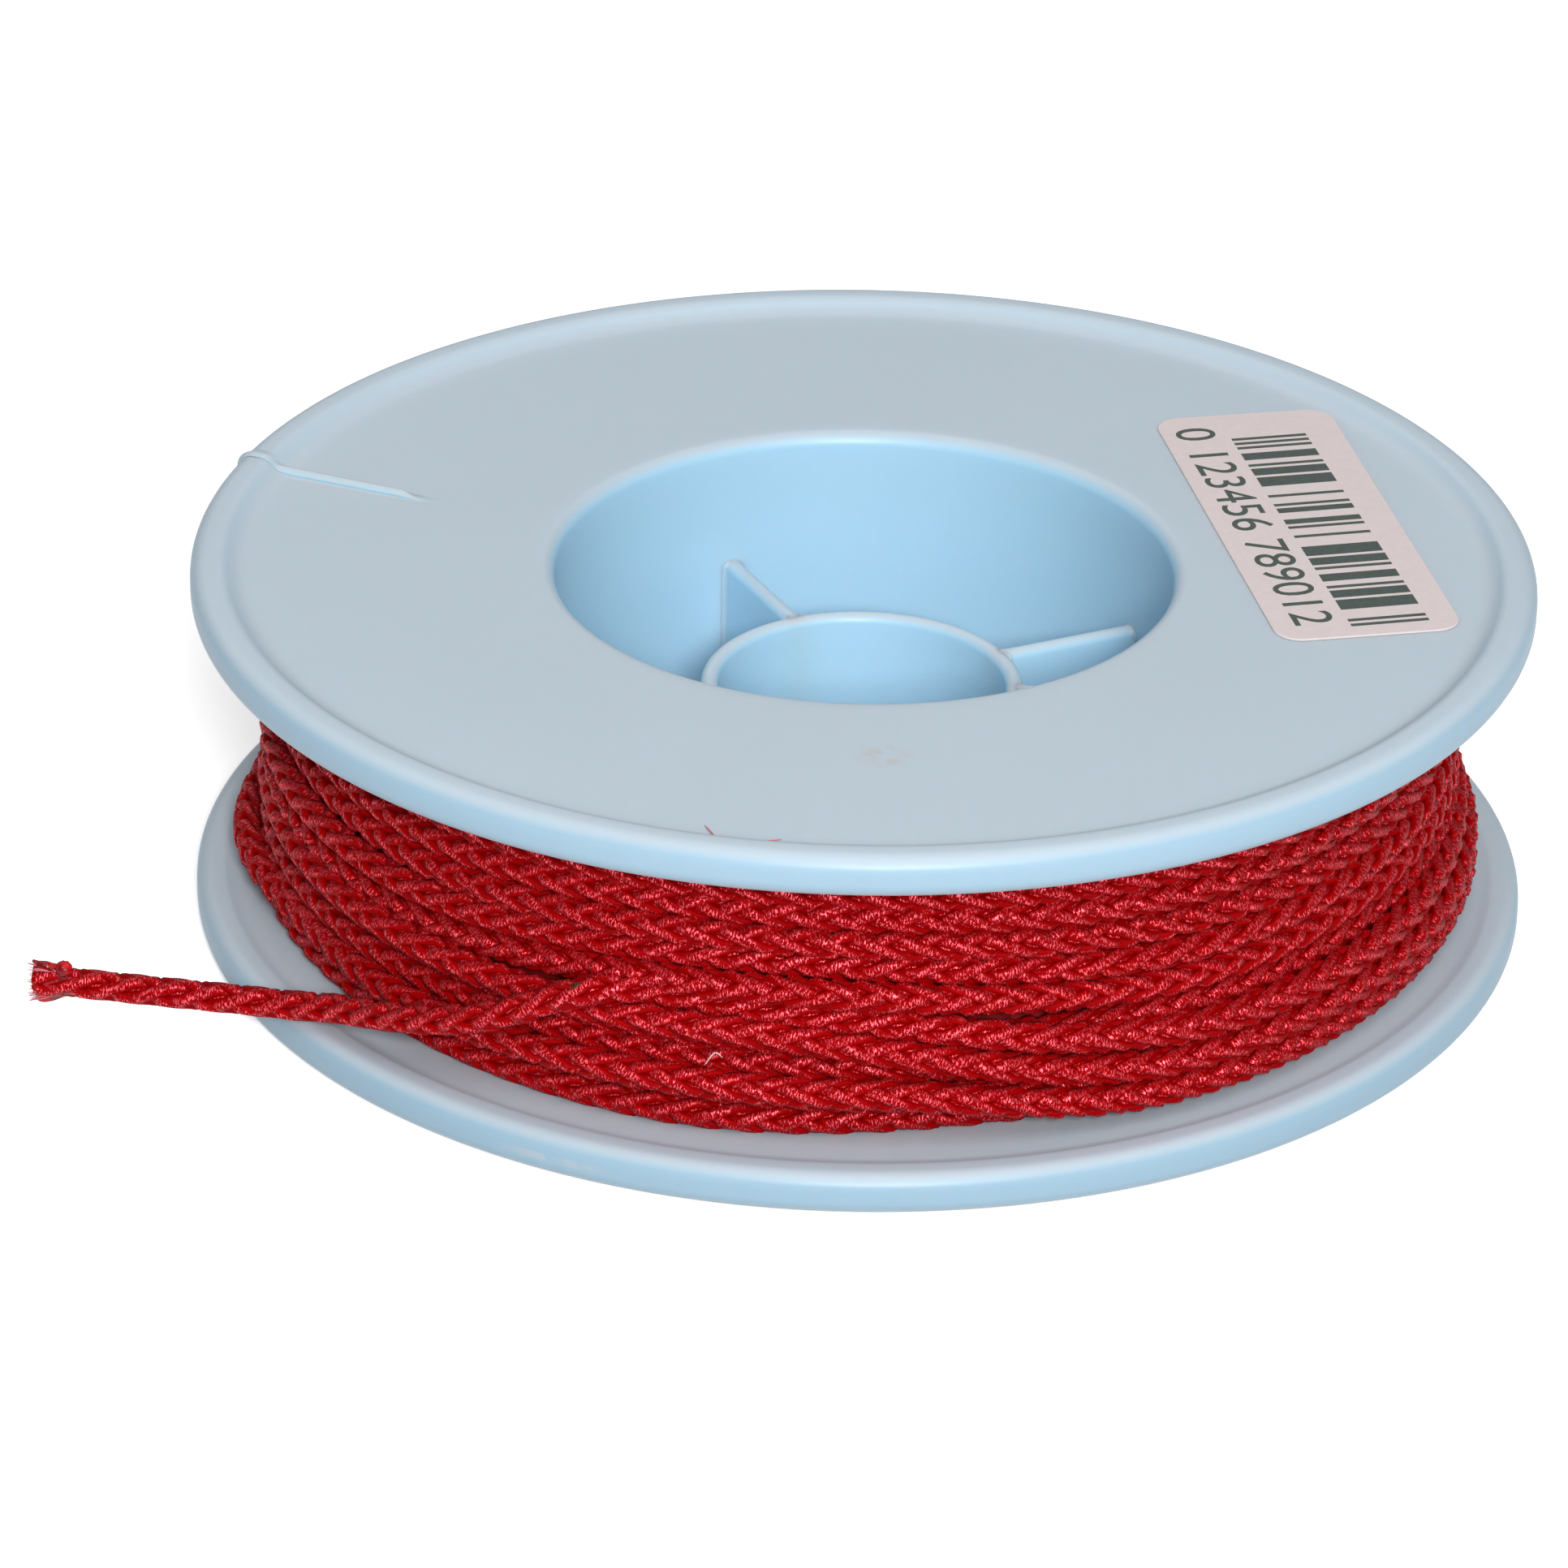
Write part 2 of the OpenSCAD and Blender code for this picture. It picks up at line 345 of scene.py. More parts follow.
def set_roughness(tree, shader, value, from_range, to_range):
    """Roughness that follows a socket straight from one range to the other."""
    (low, high), (start, end) = from_range, to_range
    inputs = {"Value": value, "From Min": low, "From Max": high, "To Min": start, "To Max": end}
    tree.links.new(wire(tree, "ShaderNodeMapRange", inputs).outputs["Result"], shader.inputs["Roughness"])


def emboss(tree, shader, height, strength, rise):
    """Lets a height from 0 to 1 stand out from the surface by a rise in millimetres."""
    bump = wire(tree, "ShaderNodeBump", {"Height": height, "Strength": strength, "Distance": rise * MM})
    tree.links.new(bump.outputs["Normal"], shader.inputs["Normal"])


def plastic():
    """Light blue moulded polypropylene.

    The skins that face up or down are rougher, and their greyer blue is painted sheen, for light from above.
    The rims' outer edges are greyer than the walls too, and the lower one darker still, as painted shade.
    One face has a faint brown stain, and the lower rim is scuffed along a short stretch of its outer edge.
    """
    material, tree, shader = new_material(
        "light blue moulded plastic",
        Subsurface_Weight=0.3,
        Subsurface_Radius=(0.3, 0.8, 1.0),
        Subsurface_Scale=0.0025,
        Specular_IOR_Level=0.5,
        IOR=1.49,
    )
    coordinates = wire(tree, "ShaderNodeTexCoord").outputs
    where = coordinates["Object"]
    x, y, z = wire(tree, "ShaderNodeSeparateXYZ", {0: where}).outputs
    flat = wire(tree, "ShaderNodeCombineXYZ", {0: x, 1: y}).outputs[0]
    r = wire(tree, "ShaderNodeVectorMath", {0: flat}, operation="LENGTH").outputs["Value"]
    up = wire(tree, "ShaderNodeSeparateXYZ", {0: coordinates["Normal"]}).outputs[2]
    faces = ramp(tree, maths(tree, "ABSOLUTE", up), 0.3, 0.92)
    outside = ramp(tree, r, (FLANGE_R - RIM_W) * MM, (FLANGE_R - RIM_ROUND) * MM)
    grain = grain_on(tree, where, 5200.0)

    def toned(colour):
        return mix(tree, grain["Tone"], rgb(*colour), rgb(*(c + TONE_SPAN for c in colour)))

    # Painted shade: the rims' outer edge darkens towards the bottom
    rim = mix(tree, ramp(tree, z, RIM_SHADE_FROM * MM, RIM_SHADE_TO * MM), rgb(*LOW_RIM_SHADE_BLUE), rgb(*RIM_BLUE))
    # Faces that point up or down take the greyer blue, a painted sheen of light from above
    tone = mix(tree, faces, mix(tree, outside, toned(WALL_BLUE), rim), toned(FACE_SHEEN_GREY))
    blots = ramp(tree, grain["Blot"], 0.4, 0.65)
    stain = maths(tree, "MULTIPLY", spot(tree, where, STAIN_AT, STAIN_R), blots)
    tone = mix(tree, maths(tree, "MULTIPLY", stain, 0.4), tone, rgb(*STAIN_BROWN))
    off_height = maths(tree, "ABSOLUTE", maths(tree, "SUBTRACT", z, SCUFF_AT[2] * MM))
    streak = ramp(tree, off_height, SCUFF_END * MM, SCUFF_FULL * MM)
    streak = maths(tree, "MULTIPLY", streak, ramp(tree, grain["Blot"], 0.3, 0.5))
    scuff = maths(tree, "MULTIPLY", spot(tree, where, SCUFF_AT, SCUFF_R), streak)
    tone = mix(tree, maths(tree, "MULTIPLY", scuff, 0.45), tone, rgb(*SCUFF_BEIGE))
    tree.links.new(tone, shader.inputs["Base Color"])
    set_roughness(tree, shader, faces, (0.0, 1.0), (0.42, 0.5))
    emboss(tree, shader, grain["Height"], 0.12, 0.05)
    return material


def yarn():
    """Red filament yarn.

    Flecks of filaments on each strand's crest shine like metal, and the rest is dull and dark.
    """
    material, tree, shader = new_material(
        "red filament yarn", Specular_IOR_Level=0.15, IOR=1.5, Specular_Tint=rgb(*YARN_SHINE)
    )
    uv = wire(tree, "ShaderNodeUVMap", uv_map="thread").outputs["UV"]

    def stretched_noise(along, across):
        laid = wire(tree, "ShaderNodeMapping", {"Vector": uv, "Scale": (along, across, 1.0)})
        inputs = {"Vector": laid.outputs["Vector"], "Scale": 1.0, "Detail": 2.0, "Roughness": 0.6}
        return wire(tree, "ShaderNodeTexNoise", inputs).outputs["Fac"]

    lines, dots = stretched_noise(0.8, 26.0), stretched_noise(13.0, 11.0)
    round_strand = wire(tree, "ShaderNodeSeparateXYZ", {0: uv}).outputs[1]
    from_crest = maths(tree, "ABSOLUTE", maths(tree, "SUBTRACT", round_strand, CREST))
    crest = ramp(tree, from_crest, FLECKS_END, FLECKS_FULL)
    flecks = maths(tree, "MULTIPLY", crest, ramp(tree, dots, 0.52, 0.6))
    dyed = mix(tree, lines, rgb(*YARN_DARK), rgb(*YARN_RED))
    tree.links.new(mix(tree, flecks, dyed, rgb(*YARN_GLINT)), shader.inputs["Base Color"])
    tree.links.new(maths(tree, "MULTIPLY", flecks, 0.95), shader.inputs["Metallic"])
    set_roughness(tree, shader, flecks, (0.0, 1.0), (0.5, 0.44))
    emboss(tree, shader, maths(tree, "ADD", maths(tree, "MULTIPLY", lines, 0.5), dots), 1.0, 0.03)
    return material


def melted_yarn():
    """Yarn fused by heat: glassy and lumpy, dark in places."""
    material, tree, shader = new_material(
        "melted red yarn", Specular_IOR_Level=0.6, Specular_Tint=rgb(*MELTED_SHINE)
    )
    grain = grain_on(tree, wire(tree, "ShaderNodeTexCoord").outputs["Object"], 4200.0)
    tone = mix(tree, ramp(tree, grain["Blot"], 0.35, 0.65), rgb(*MELTED_DARK), rgb(*MELTED_RED))
    tree.links.new(tone, shader.inputs["Base Color"])
    set_roughness(tree, shader, grain["Blot"], (0.3, 0.7), (0.2, 0.5))
    emboss(tree, shader, grain["Height"], 0.8, 0.1)
    return material


def mottled(name, scale, first, second, relief=0.0, **constants):
    """A material whose colour drifts between two with the fine grain.

    The grain can also stand out, by a relief in millimetres.
    """
    material, tree, shader = new_material(name, **constants)
    grain = grain_on(tree, wire(tree, "ShaderNodeTexCoord").outputs["Object"], scale)
    tree.links.new(mix(tree, grain["Height"], rgb(*first), rgb(*second)), shader.inputs["Base Color"])
    if relief:
        emboss(tree, shader, grain["Height"], 0.2, relief)
    return material


def heart_yarn():
    """The cord's inside, seen only between strands and in gaps between turns, in a darker red as painted
    shade.
    """
    return mottled(
        "red yarn in the cord's heart", 900.0, HEART_DARK, HEART_RED, Roughness=0.7, Specular_IOR_Level=0.2
    )


def paper():
    """Pinkish white label paper with faint fibres and a slight calender gloss."""
    return mottled(
        "label paper", 2600.0, PAPER_DARK, PAPER_PINK, relief=0.02, Roughness=0.55, Specular_IOR_Level=0.35
    )


def ink():
    """Dark grey-green printing ink, a little uneven."""
    return mottled("printing ink", 3000.0, INK_DARK, INK_LIGHT, Roughness=0.5, Specular_IOR_Level=0.35)


def fluff(name, *colour):
    """Plain dull fibre."""
    material, _, shader = new_material(name, Roughness=0.7, Specular_IOR_Level=0.2)
    shader.inputs["Base Color"].default_value = rgb(*colour)
    return material


PLASTIC, YARN, SHADED_HEART_YARN, PAPER, INK = plastic(), yarn(), heart_yarn(), paper(), ink()
MELTED_YARN = melted_yarn()
PINK_FLUFF = fluff("loose red fibre", 196, 110, 118)
PALE_FLUFF = fluff("pale fluff", 205, 190, 190)
GREEN_FLUFF = fluff("dark green fluff", 44, 62, 36)

# ---------------------------------------------------------------- the cord's route

# Azimuth at which the cord and each of its layers start
START_AZ = 54.0

# Shares of a turn: its step down at its end, and how long before the outer layer's end it starts to climb
# on top
STEP_PART = 0.2
LIFT_PART = 0.45

# How much further out than the outer layer the turns on top lie
NEST_R = 1.25

# The turn on top at which the free end leaves, and the azimuths, radii and heights at which it comes out of
# the gap
LEAVE_TURN = 2.42
TUCK = [(-104, 33.5, 10.3), (-109.5, 33.9, 10.5)]

# The free end: its points, and how much the first of them are raised, fading from one point's number to
# another's
TAIL_LIFT, LIFT_FROM, LIFT_TO = 0.42, 5, 10
TAIL_ROUTE = [
    (-14.2, -31.9, 9.8),
    (-16.1, -31.5, 9.0),
    (-18.0, -31.1, 8.1),
    (-20.1, -30.2, 7.1),
    (-22.4, -28.7, 6.1),
    (-25.1, -26.4, 5.0),
    (-27.9, -23.6, 3.9),
    (-30.6, -22.0, 3.3),
    (-34.0, -21.0, 3.2),
    (-37.8, -20.2, 3.2),
    (-41.4, -19.5, 3.2),
    (-44.8, -19.1, 3.3),
]

# Steps of the turns on top of the outer layer: from turn, to turn, pitches upwards
STEPS = [
    (-STEP_PART, 0.0, 0.5),
    (0.32, 0.4, 1.0),
    (1.31, 1.43, 2.0),
    (1.6, 1.8, -1.0),
    (2.3, LEAVE_TURN, 1.67),
]
DIP, DIP_FROM, DIP_TO = 0.75, 2.33, LEAVE_TURN

# How far every turn wanders from its place: size in millimetres, radians a turn, phase
RISE_WAVES = [(0.05, 5.3, 1), (0.04, 17.1, 0)]
INSET_WAVES = [(0.07, 7.7, 2), (0.05, 23.3, 0)]

# Where turns of the outer layer lie off their places: first and last place from below, azimuth, half width,
# rise at the first place, fading towards the last, and inset
SHIFTS = [
    (0, 0, -75, 34, 0.0, 1.35),
    (3, 3, -112, 30, -0.15, 0.0),
    (4, 9, -98, 45, 1.7, 0.0),
    (4, 4, -98, 42, 0.0, -0.85),
    (6, 6, -98, 42, 0.0, -0.35),
    (6, 9, -172, 62, 0.0, 0.9),
    (0, 9, -22, 34, 0.0, 0.3),
    (6, 9, -8, 50, 0.0, 0.35),
]

# Where turns on top of the outer layer lie off their places: turn, half width in turns, rise, inset
SAGS = [
    (0.65, 0.2, -1.4, 0.0),
    (0.635, 0.07, 0.0, -0.5),
    (0.58, 0.07, 0.0, 0.9),
    (0.74, 0.1, 0.0, 0.5),
    (1.68, 0.22, 0.0, 1.25),
    (2.15, 0.12, 0.0, 0.6),
    (0.22, 0.1, 0.0, 0.4),
]


def down_place(turn):
    """Place of a layer wound downwards, in pitches up from the lowest turn.

    Each turn lies level, and steps down smoothly at its end.
    """
    level = TURNS - 1 - np.floor(turn) - ease(turn % 1, 1 - STEP_PART, 1)
    return np.where(turn < TURNS - 1, level, 0)


def inner_layers(turn):
    """Centre line of the layers under the outer one, `turn` turns from the cord's inner end.

    Layers wind down and up in turn, and each ends with a climb of one layer step.
    """
    layer = np.minimum(np.floor(turn / TURNS), INNER_LAYERS - 1)
    turn_in_layer = turn - layer * TURNS
    down = down_place(turn_in_layer)
    place = np.where(layer % 2 == 0, down, TURNS - 1 - down)
    r = FIRST_R + LAYER_STEP * (layer + ease(turn_in_layer, TURNS - STEP_PART, TURNS))
    return polar(START_AZ - 360 * turn, r, LOW_Z + PITCH * place)


def outer_layer(turn):
    """Centre line of the outer layer and of the turns on top of it, `turn` turns from the layer's start.

    Each turn lies level in its place and wanders a little from it, as a sum of sines. SHIFTS moves whole
    stretches of the outer layer by a squared cosine of the azimuth. SAGS does it with the turns on top, by
    turns.
    """
    az = START_AZ - 360 * turn
    place = down_place(turn)
    on_top = ease(turn, TURNS - LIFT_PART, TURNS - STEP_PART)
    climb = sum(up * ease(turn, TURNS + start, TURNS + end) for start, end, up in STEPS)
    dip = DIP * ease(turn, TURNS + DIP_FROM, TURNS + DIP_TO)
    rise = sum(size * np.sin(pace * turn + phase) for size, pace, phase in RISE_WAVES)
    inset = sum(size * np.sin(pace * turn + phase) for size, pace, phase in INSET_WAVES)
    for low, high, centre, half_width, up, inwards in SHIFTS:
        part = ease(place, low - 0.5, low - 0.1) * (1 - ease(place, high + 0.1, high + 0.5))
        part = part * hill((az - centre + 180) % 360 - 180, 0, half_width) * (1 - on_top)
        rise = rise + up * part * (1 - (place - low) / max(high - low, 1))
        inset = inset + inwards * part
    for centre, half_width, up, inwards in SAGS:
        part = hill(turn, TURNS + centre, half_width)
        rise, inset = rise + up * part, inset + inwards * part
    r = WIND_R + NEST_R * on_top - inset - dip
    return polar(az, r, LOW_Z + PITCH * (place + climb) + rise)


# Points that a smooth line gets for each of its knots before it is resampled
KNOT_POINTS = 40


def through(knots, step):
    """Points a step apart on the smooth line through the knots.

    It is a cubic between each two, and its direction at a knot is that from the knot before to the knot
    after.
    """
    knots = np.array(knots, float)
    padded = np.concatenate([2 * knots[:1] - knots[1:2], knots, 2 * knots[-1:] - knots[-2:-1]])
    t = np.linspace(0, len(knots) - 1, len(knots) * KNOT_POINTS)
    i = np.minimum(t.astype(int), len(knots) - 2)
    f = (t - i)[:, None]
    p0, p1, p2, p3 = (padded[i + k] for k in range(4))
    curve = p1 + f * 0.5 * ((p2 - p0) + f * ((2 * p0 - 5 * p1 + 4 * p2 - p3) + f * (3 * (p1 - p2) + p3 - p0)))
    return resample(curve, step)


def resample(points, step):
    """Points a step apart along a polyline."""
    gone = np.concatenate([[0], np.cumsum(np.linalg.norm(np.diff(points, axis=0), axis=1))])
    at = np.linspace(0, gone[-1], int(gone[-1] / step) + 1)
    return np.stack([np.interp(at, gone, points[:, k]) for k in range(3)], -1)


def ring_frames(route):
    """Unit vectors sideways and upwards at each point of a route that never runs straight up."""
    along = unit(np.gradient(route, axis=0))
    side = unit(np.cross([0, 0, 1], along))
    return side, np.cross(along, side)


# Points a turn in the hidden and the visible layers, and the step of the visible route. The free end's line
# starts with a few of the winding's last points, a fixed number of points apart.
INNER_POINTS, OUTER_POINTS = 24, 240
ROUTE_STEP = 0.5
LAST_POINTS, LAST_GAP = 4, 8

inner_route = inner_layers(np.arange(0, INNER_LAYERS * TURNS, 1 / INNER_POINTS))
wound = outer_layer(np.arange(0, TURNS + LEAVE_TURN, 1 / OUTER_POINTS))
leaving = wound[[-1 - LAST_GAP * k for k in reversed(range(LAST_POINTS))]]
tail = np.array(TAIL_ROUTE)
tail[:, 2] += TAIL_LIFT * (1 - ease(np.arange(len(tail)), LIFT_FROM, LIFT_TO))
end_route = through(np.concatenate([leaving, polar(*np.array(TUCK, float).T), tail]), ROUTE_STEP)
shared = int(np.linalg.norm(leaving[0] - leaving[-1]) / ROUTE_STEP)
visible_route = np.concatenate([resample(wound, ROUTE_STEP)[: -shared - 1], end_route])
visible_route = resample(visible_route, ROUTE_STEP)

# ---------------------------------------------------------------- the cord

# The plain cord: its radius where it is hidden and inside the braid, where it takes every fifth point of
# the route
TUBE_SIDES = 8
HIDDEN_R, HEART_R = CORD_D / 2 - 0.02, 0.42
HEART_EVERY = 5


def cord_tube(route, radius):
    """Round tube of a given radius at each point along the route."""
    side, lift = ring_frames(route)
    a = 2 * np.pi * np.arange(TUBE_SIDES) / TUBE_SIDES
    radius = np.broadcast_to(radius, len(route))[:, None, None]
    spokes = lift[:, None] * np.cos(a)[:, None] - side[:, None] * np.sin(a)[:, None]
    return tube(route[:, None] + radius * spokes)


heart_route = visible_route[::HEART_EVERY]
whole_route = np.concatenate([inner_route, heart_route])
whole_radius = np.concatenate([np.full(len(inner_route), HIDDEN_R), np.full(len(heart_route), HEART_R)])
# The hidden layers and the braid's heart take the heart yarn, darkened as painted shade
cord = add_piece("cord", [cord_tube(whole_route, whole_radius)], SHADED_HEART_YARN)

# Braid of two sets of four strands, each over two and under two: the length of one turn of a strand, their
# number in a set, half width and half thickness, and the radii of a strand's middle where it lies over and
# under. The least radius is that at which its width is still laid round the cord, and STEEP is how fast it
# changes sides.
LAY = 9.2
STRANDS = 4
STRAND_W, STRAND_T = 0.37, 0.3
OVER_R, UNDER_R = 0.53, 0.28
LEAST_R = 0.42
STEEP = 3.0
STRAND_SIDES = 8
STRAND_STEP = 0.3
CHUNKS = 7

# How the braid turns about the cord, by the distance along it: slow waves (size in radians, millimetres a
# radian, phase), a stretch that lies a quarter turn further round and how long it takes to get there, and
# the angle that it reaches between two distances from the end
ROLL_WAVES = [(0.35, 61, 0), (0.3, 143, 1)]
QUARTER_FROM, QUARTER_TO, QUARTER_EASE = 1040, 1200, 50
END_ROLL, END_ROLL_FROM, END_ROLL_TO = 0.72, 70, 50


def strands(route, start, end):
    """The braid's eight strands, from one distance along the route to another.

    A strand turns once round the cord in LAY. It lies over in two opposite quarters of the way round and
    under in the other two, and the set that turns the other way does the reverse. In each quarter it runs
    straight, so its radius there is that of a chord. Its flat section is an ellipse bent round the cord:
    its width lies across the strand on the cord's surface, and its thickness along the radius. The sections
    of both sets run the same way round from the inner side, so all outer sides are at half of the way
    round.
    """
    side, lift = ring_frames(route)
    gone = np.concatenate([[0], np.cumsum(np.linalg.norm(np.diff(route, axis=0), axis=1))])
    x = np.linspace(start, end, int((end - start) / STRAND_STEP) + 1)
    t = -np.pi / 2 + 2 * np.pi * np.arange(STRAND_SIDES) / STRAND_SIDES
    shells = []
    for way in (1, -1):
        for k in range(STRANDS):
            angle = way * 2 * np.pi * x / LAY + 2 * np.pi * k / STRANDS
            wave = way * np.sin(2 * angle + np.pi / 4)
            over = np.tanh(STEEP * wave) / np.tanh(STEEP)
            r = (OVER_R + UNDER_R) / 2 + (OVER_R - UNDER_R) / 2 * over
            r = r / np.sqrt((1 + np.abs(wave)) / 2)
            slant = math.atan(2 * np.pi * (OVER_R + UNDER_R) / 2 / LAY)
            across = STRAND_W * np.cos(t)
            r_at = r[:, None] + STRAND_T * np.sin(t)
            angle_at = angle[:, None] + way * across * math.cos(slant) / np.maximum(r[:, None], LEAST_R)
            x_at = x[:, None] - across * math.sin(slant)
            roll = sum(size * np.sin(x_at / length + phase) for size, length, phase in ROLL_WAVES)
            quarter = ease(x_at, QUARTER_FROM, QUARTER_FROM + QUARTER_EASE)
            quarter = quarter - ease(x_at, QUARTER_TO - QUARTER_EASE, QUARTER_TO)
            roll = roll + np.pi / 2 * quarter
            roll = roll + (END_ROLL - roll) * ease(x_at, gone[-1] - END_ROLL_FROM, gone[-1] - END_ROLL_TO)
            x_at = np.clip(x_at, 0, gone[-1])

            def at(values):
                return np.stack([np.interp(x_at, gone, values[:, c]) for c in range(3)], -1)

            round_cord = angle_at + roll
            spokes = at(lift) * np.cos(round_cord)[..., None] + at(side) * np.sin(round_cord)[..., None]
            rings = at(route) + r_at[..., None] * spokes
            if way == -1:
                rings = np.roll(rings[:, ::-1], 1, axis=1)
            shells.append(tube(rings, x))
    return shells


route_length = float(np.linalg.norm(np.diff(visible_route, axis=0), axis=1).sum())
cuts = np.linspace(0, route_length, CHUNKS + 1)
braid = []
for index in range(CHUNKS):
    shells = strands(visible_route, cuts[index], cuts[index + 1])
    braid.append(add_piece(f"braid_{index + 1}", shells, YARN))

# The fused tip: where it starts, its length and its middle, its half height at the start and at the end,
# and how much flatter it gets. The rings of the hollow in its face, by their share of the edge's size and
# their depth. The lump on it, and how far from its poles that lump's first rings lie, in radians.
TIP_FROM, TIP_LENGTH, TIP_Y, TIP_Z = -42.3, 2.65, -19.3, 3.22
TIP_NARROW, TIP_WIDE, TIP_FLATTER = 0.7, 1.2, 0.2
TIP_HOLLOW = [(0.86, 0.1), (0.6, 0.45), (0.2, 0.6)]
TIP_ROWS, TIP_SIDES = 22, 40
LUMP_AT, LUMP_R = (-43.1, -19.6, 4.2), 0.46
LUMP_ROWS, LUMP_SIDES, LUMP_POLE = 14, 20, 0.12

# Filaments that stick out of the tip: number and radius, how far past its start they begin, and least and
# greatest reach
TIP_FIBRES, FIBRE_R = 46, 0.035
FIBRE_FROM, FIBRE_SHORT, FIBRE_LONG = 1.5, 0.9, 1.35


def tip_fan():
    """The cord's fused end: an oval that grows taller and flatter towards a jagged end with a hollow face.

    Sines of whole multiples of the way round give the folds and the jags.
    """
    t = np.linspace(0, 1, TIP_ROWS)[:, None]
    b = 2 * np.pi * np.arange(TIP_SIDES)[None] / TIP_SIDES
    folds = 0.07 * np.sin(5 * b + 2 + 3 * t) + 0.05 * np.sin(11 * b + 5 * t) + 0.03 * np.sin(17 * b - 9 * t)
    tall = (TIP_NARROW + (TIP_WIDE - TIP_NARROW) * ease(t, 0.1, 0.9)) * (1 + folds)
    deep = (TIP_NARROW - TIP_FLATTER * t) * (1 + folds)
    jags = 0.16 * np.sin(3 * b + 1) + 0.12 * np.sin(8 * b) + 0.08 * np.sin(13 * b + 2)
    x = TIP_FROM - (TIP_LENGTH - 0.3) * t + jags * ease(t, 0.5, 1)
    last = np.array(TAIL_ROUTE[-3:])
    y = np.interp(-x, -last[:, 0], last[:, 1]) + deep * np.cos(b)
    rings = np.stack([x, y, TIP_Z + tall * np.sin(b)], -1)
    middle = rings[-1].mean(0)
    hollow = [middle + (rings[-1] - middle) * share + [depth, 0, 0] for share, depth in TIP_HOLLOW]
    return tube(np.concatenate([rings, np.stack(hollow)]))


def lump(centre, radius):
    """Ball with shallow dents, as rings between two poles."""
    a = np.linspace(LUMP_POLE, np.pi - LUMP_POLE, LUMP_ROWS)[:, None]
    b = 2 * np.pi * np.arange(LUMP_SIDES)[None] / LUMP_SIDES
    r = radius * (1 + 0.07 * np.sin(3 * a + 1) * np.cos(2 * b) + 0.05 * np.sin(5 * b + 4 * a))
    ball = np.stack([r * np.sin(a) * np.cos(b), r * np.sin(a) * np.sin(b), -r * np.cos(a)], -1)
    return tube(np.array(centre) + ball)


# Step and sides of a fibre's tube
THREAD_STEP, THREAD_SIDES = 0.12, 5


def fibre(knots, radius):
    """Thin tube through a few points, thinner towards its ends."""
    route = through(knots, THREAD_STEP)
    side, lift = ring_frames(route)
    a = 2 * np.pi * np.arange(THREAD_SIDES) / THREAD_SIDES
    thick = radius * (0.35 + 0.65 * np.sin(np.pi * np.linspace(0.05, 0.95, len(route))))[:, None, None]
    spokes = lift[:, None] * np.cos(a)[:, None] - side[:, None] * np.sin(a)[:, None]
    return tube(route[:, None] + thick * spokes)


def tip_fibres():
    """Filaments that stick out of the fused end, spread up and down, each with its own bend."""
    rng = np.random.default_rng(SEED)
    shells = []
    for _ in range(TIP_FIBRES):
        up, out = rng.uniform(-1, 1), rng.uniform(-1, 1)
        start = np.array([TIP_FROM - FIBRE_FROM, TIP_Y + 0.4 * out, TIP_Z + 0.95 * up])
        reach = rng.uniform(FIBRE_SHORT, FIBRE_LONG)
        end = start + [-reach, 0.2 * out, 0.35 * up + rng.normal(0, 0.08)]
        shells.append(fibre([start, (start + end) / 2 + rng.normal(0, 0.05, 3), end], FIBRE_R))
    return shells


tip = add_piece("melted_tip", [tip_fan(), lump(LUMP_AT, LUMP_R)], MELTED_YARN)
frayed = add_piece("frayed_filaments", tip_fibres(), PINK_FLUFF)
braid += [tip, frayed]

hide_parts("cord_core", "cord_winding", "cord_tail")

# ---------------------------------------------------------------- the spool

# The slit: azimuth at its inner end, slant from the radius, reach in from the edge, width, and the share of
# the way to the plate's middle that its faces fall, over the first stretch of its length. It cuts into the
# edge from a little inside the rim's round.
CATCH_AZ, CATCH_SLANT, CATCH_REACH = 165.0, -7.0, 11.2
SLIT_W, SLIT_FALL, SLIT_START = 0.1, 0.85, 0.3
SLIT_CUT, SLIT_CUT_INSIDE = 1.6, 0.3

# The lip beside it: how far to the side, half width, height, the length over which it starts, and how much
# it rises over the rim and reaches past it
LIP_Y, LIP_HALF, LIP_H, LIP_START = -0.4, 0.62, 0.36, 0.9
LIP_OVER_RIM, LIP_PAST_RIM = 0.14, 0.25

# Columns of the spool's grid, and those near the slit by their distance from it at COLUMN_R. In degrees:
# the gap between these and the even ones, and where columns follow the slit's slant fully and no longer.
COLUMNS = 420
COLUMN_R = 32.0
NEAR_COLUMNS = [-1.8, -1.5, *(-1.3 + 0.1 * k for k in range(13)), -0.05, -0.04, 0.04, 0.05]
NEAR_COLUMNS += [0.12, 0.2, 0.3, 0.4, 0.6, 0.9, 1.4]
NEAR_GAP, TURN_FULL, TURN_NONE = 0.3, 4, 30

# Fillets at the foot of the rim, on the plate's outer and inner face, and between the plate and the drum
UPPER_FILLET, LOWER_FILLET, ROOT_FILLET = 1.6, 2.0, 0.5
RIB_FILLET = 0.25
HUB_COLUMNS, RIB_SIDES = 192, 28

# Angle in degrees from which an edge is shaded as a corner
CORNER_ANGLE = 42


